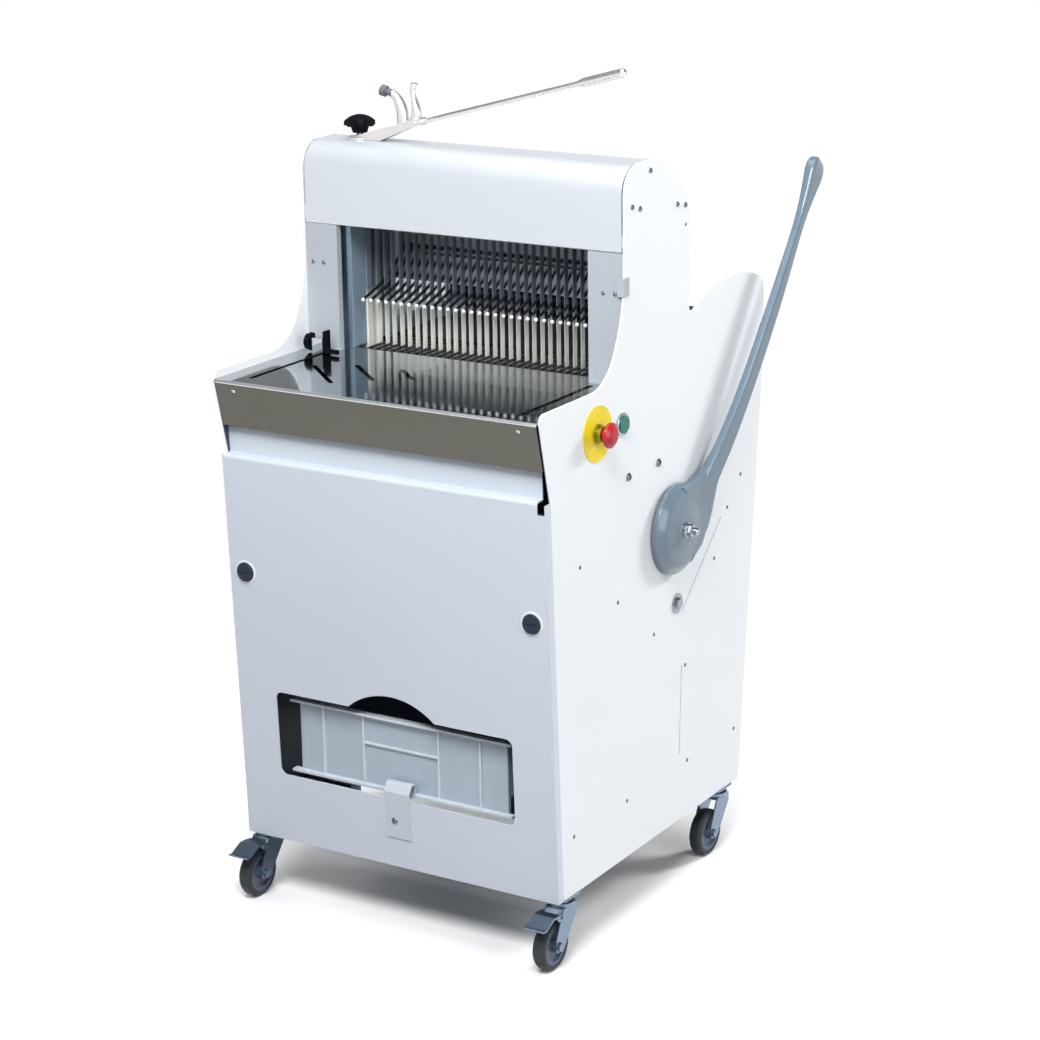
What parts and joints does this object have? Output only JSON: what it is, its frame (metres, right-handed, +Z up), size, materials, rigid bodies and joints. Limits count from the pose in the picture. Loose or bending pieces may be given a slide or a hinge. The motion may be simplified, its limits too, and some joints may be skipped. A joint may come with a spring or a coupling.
{
  "type": "floor-standing bread slicer",
  "caption": "Floor-standing bakery bread slicer on castors with a long side lever, slotted table, blade frames, crumb drawer and swivelling top arm.",
  "frame": {"origin": "bottom centre of the whole machine's box, on the floor", "axes": "+Z up, -Y towards the front where the operator stands, +X towards the lever side"},
  "size_m": [0.6546, 0.8803, 1.3724],
  "materials": {
    "side_paint": "satin",
    "panel_paint": "satin",
    "cover_paint": "satin",
    "frame_paint": "satin",
    "table_steel": "brushed",
    "blade_steel": "satin",
    "inner_steel": "satin",
    "shaft_steel": "polished",
    "lever_paint": "satin",
    "cast_iron": "rough",
    "zinc": "satin",
    "knob_plastic": "matte",
    "drawer_plastic": "satin",
    "red_plastic": "gloss",
    "yellow_plastic": "satin",
    "teal_plastic": "gloss",
    "wheel_rubber": "matte",
    "belt_rubber": "matte"
  },
  "bodies": {
    "machine": {"apron": "table_steel", "base_frame": "frame_paint", "blade_guides": "shaft_steel", "castor_plates": "zinc", "control_box": "knob_plastic", "crumb_chutes": "inner_steel", "drawer_runners": "zinc", "drive_belt": "belt_rubber", "estop_collar": "yellow_plastic", "estop_plate": "yellow_plastic", "front_panel": "panel_paint", "infeed_deck": "table_steel", "inner_walls": "inner_steel", "loaf_combs": "inner_steel", "motor": "cast_iron", "power_inlet": "knob_plastic", "pusher_rods": "shaft_steel", "rear_cover": "cover_paint", "screws": "zinc", "shaft_bearings": "cast_iron", "side_plate_left": "side_paint", "side_plate_right": "side_paint", "start_bezel": "shaft_steel", "table": "table_steel", "tie_bars": "frame_paint", "top_cover": "cover_paint", "tower_front_plates": "side_paint"},
    "lever_arm": {"lever": "lever_paint", "lever_bolt": "zinc", "cross_shaft": "cast_iron"},
    "loaf_pusher": {"pusher": "inner_steel"},
    "front_blades": {"blade_frame_front": "blade_steel"},
    "rear_blades": {"blade_frame_rear": "blade_steel"},
    "right_rod": {"connecting_rod_right": "cast_iron"},
    "left_rod": {"connecting_rod_left": "cast_iron"},
    "crank": {"crankshaft": "shaft_steel"},
    "motor_rotor": {"motor_pulley": "cast_iron"},
    "stop_button": {"estop_button": "red_plastic"},
    "go_button": {"start_button": "teal_plastic"},
    "lock_right": {"panel_lock_right": "knob_plastic"},
    "lock_left": {"panel_lock_left": "knob_plastic"},
    "drawer": {"crumb_drawer": "drawer_plastic", "drawer_tab": "drawer_plastic"},
    "top_arm": {"top_arm_bracket": "zinc", "top_arm_rod": "shaft_steel"},
    "arm_knob": {"top_arm_knob": "knob_plastic"},
    "guide_left": {"side_guide_left": "shaft_steel"},
    "guide_knob_left": {"side_guide_knob_left": "knob_plastic"},
    "fork_front_left": {"castor_fork_front_left": "zinc"},
    "wheel_front_left": {"castor_wheel_front_left": "wheel_rubber"},
    "brake_front_left": {"castor_brake_front_left": "zinc"},
    "fork_front_right": {"castor_fork_front_right": "zinc"},
    "wheel_front_right": {"castor_wheel_front_right": "wheel_rubber"},
    "brake_front_right": {"castor_brake_front_right": "zinc"},
    "fork_rear_left": {"castor_fork_rear_left": "zinc"},
    "wheel_rear_left": {"castor_wheel_rear_left": "wheel_rubber"},
    "fork_rear_right": {"castor_fork_rear_right": "zinc"},
    "wheel_rear_right": {"castor_wheel_rear_right": "wheel_rubber"}
  },
  "joints": [
    {"name": "lever_pull", "type": "hinge", "parent": "machine", "child": "lever_arm", "pos_m": [-0.02075, -0.01884, 0.627], "axis": [1, 0, 0], "range_deg": [0, 42]},
    {"name": "pusher_slide", "type": "slide", "parent": "machine", "child": "loaf_pusher", "axis": [0, -1, 0], "range_m": [0, 0.193]},
    {"name": "blade_front_slide", "type": "slide", "parent": "machine", "child": "front_blades", "axis": [0, 0, 1], "range_m": [-0.018, 0.018]},
    {"name": "blade_rear_slide", "type": "slide", "parent": "machine", "child": "rear_blades", "axis": [0, 0, 1], "range_m": [-0.018, 0.018]},
    {"name": "right_rod_swing", "type": "hinge", "parent": "front_blades", "child": "right_rod", "pos_m": [0.25225, -0.09434, 0.742], "axis": [1, 0, 0], "range_deg": [-8, 0]},
    {"name": "left_rod_swing", "type": "hinge", "parent": "rear_blades", "child": "left_rod", "pos_m": [-0.29375, -0.06734, 0.742], "axis": [1, 0, 0], "range_deg": [0, 8]},
    {"name": "crank_spin", "type": "hinge", "parent": "machine", "child": "crank", "pos_m": [-0.02075, -0.03584, 0.494], "axis": [1, 0, 0], "continuous": true},
    {"name": "motor_spin", "type": "hinge", "parent": "machine", "child": "motor_rotor", "pos_m": [-0.02075, 0.15916, 0.4], "axis": [1, 0, 0], "continuous": true},
    {"name": "estop_push", "type": "slide", "parent": "machine", "child": "stop_button", "axis": [-1, 0, 0], "range_m": [0, 0.004]},
    {"name": "start_push", "type": "slide", "parent": "machine", "child": "go_button", "axis": [-1, 0, 0], "range_m": [0, 0.0025], "stiffness_N_per_m": 400},
    {"name": "lock_turn_right", "type": "hinge", "parent": "machine", "child": "lock_right", "pos_m": [0.24825, -0.39081, 0.573], "axis": [0, -0.9991, -0.042], "range_deg": [0, 90]},
    {"name": "lock_turn_left", "type": "hinge", "parent": "machine", "child": "lock_left", "pos_m": [-0.28975, -0.39081, 0.573], "axis": [0, -0.9991, -0.042], "range_deg": [0, 90]},
    {"name": "drawer_slide", "type": "slide", "parent": "machine", "child": "drawer", "axis": [0, -1, 0], "range_m": [0, 0.38]},
    {"name": "top_arm_swivel", "type": "hinge", "parent": "machine", "child": "top_arm", "pos_m": [-0.24775, -0.10784, 1.24], "axis": [0, 0, 1], "range_deg": [-90, 90]},
    {"name": "arm_knob_turn", "type": "hinge", "parent": "machine", "child": "arm_knob", "pos_m": [-0.24775, -0.10784, 1.25], "axis": [0, 0, 1], "continuous": true},
    {"name": "guide_slide_left", "type": "slide", "parent": "machine", "child": "guide_left", "axis": [0, -1, 0], "range_m": [0, 0.17]},
    {"name": "guide_knob_turn_left", "type": "hinge", "parent": "guide_left", "child": "guide_knob_left", "pos_m": [-0.26975, -0.20084, 0.9103], "axis": [1, 0, 0], "continuous": true},
    {"name": "castor_swivel_front_left", "type": "hinge", "parent": "machine", "child": "fork_front_left", "pos_m": [-0.30575, -0.35384, 0.1], "axis": [0, 0, 1], "continuous": true},
    {"name": "castor_roll_front_left", "type": "hinge", "parent": "fork_front_left", "child": "wheel_front_left", "pos_m": [-0.30575, -0.38884, 0.04], "axis": [1, 0, 0], "continuous": true},
    {"name": "brake_press_front_left", "type": "hinge", "parent": "fork_front_left", "child": "brake_front_left", "pos_m": [-0.30575, -0.38384, 0.088], "axis": [1, 0, 0], "range_deg": [0, 10]},
    {"name": "castor_swivel_front_right", "type": "hinge", "parent": "machine", "child": "fork_front_right", "pos_m": [0.26425, -0.35384, 0.1], "axis": [0, 0, 1], "continuous": true},
    {"name": "castor_roll_front_right", "type": "hinge", "parent": "fork_front_right", "child": "wheel_front_right", "pos_m": [0.26425, -0.38884, 0.04], "axis": [1, 0, 0], "continuous": true},
    {"name": "brake_press_front_right", "type": "hinge", "parent": "fork_front_right", "child": "brake_front_right", "pos_m": [0.26425, -0.38384, 0.088], "axis": [1, 0, 0], "range_deg": [0, 10]},
    {"name": "castor_swivel_rear_left", "type": "hinge", "parent": "machine", "child": "fork_rear_left", "pos_m": [-0.30575, 0.16516, 0.1], "axis": [0, 0, 1], "continuous": true},
    {"name": "castor_roll_rear_left", "type": "hinge", "parent": "fork_rear_left", "child": "wheel_rear_left", "pos_m": [-0.30575, 0.13016, 0.04], "axis": [1, 0, 0], "continuous": true},
    {"name": "castor_swivel_rear_right", "type": "hinge", "parent": "machine", "child": "fork_rear_right", "pos_m": [0.26425, 0.16516, 0.1], "axis": [0, 0, 1], "continuous": true},
    {"name": "castor_roll_rear_right", "type": "hinge", "parent": "fork_rear_right", "child": "wheel_rear_right", "pos_m": [0.26425, 0.13016, 0.04], "axis": [1, 0, 0], "continuous": true}
  ],
  "couplings": [
    {"joint": "pusher_slide", "follows": "lever_pull", "m_per_rad": 0.262},
    {"joint": "blade_rear_slide", "follows": "blade_front_slide", "ratio": -1},
    {"joint": "motor_spin", "follows": "crank_spin", "ratio": 1.5}
  ]
}
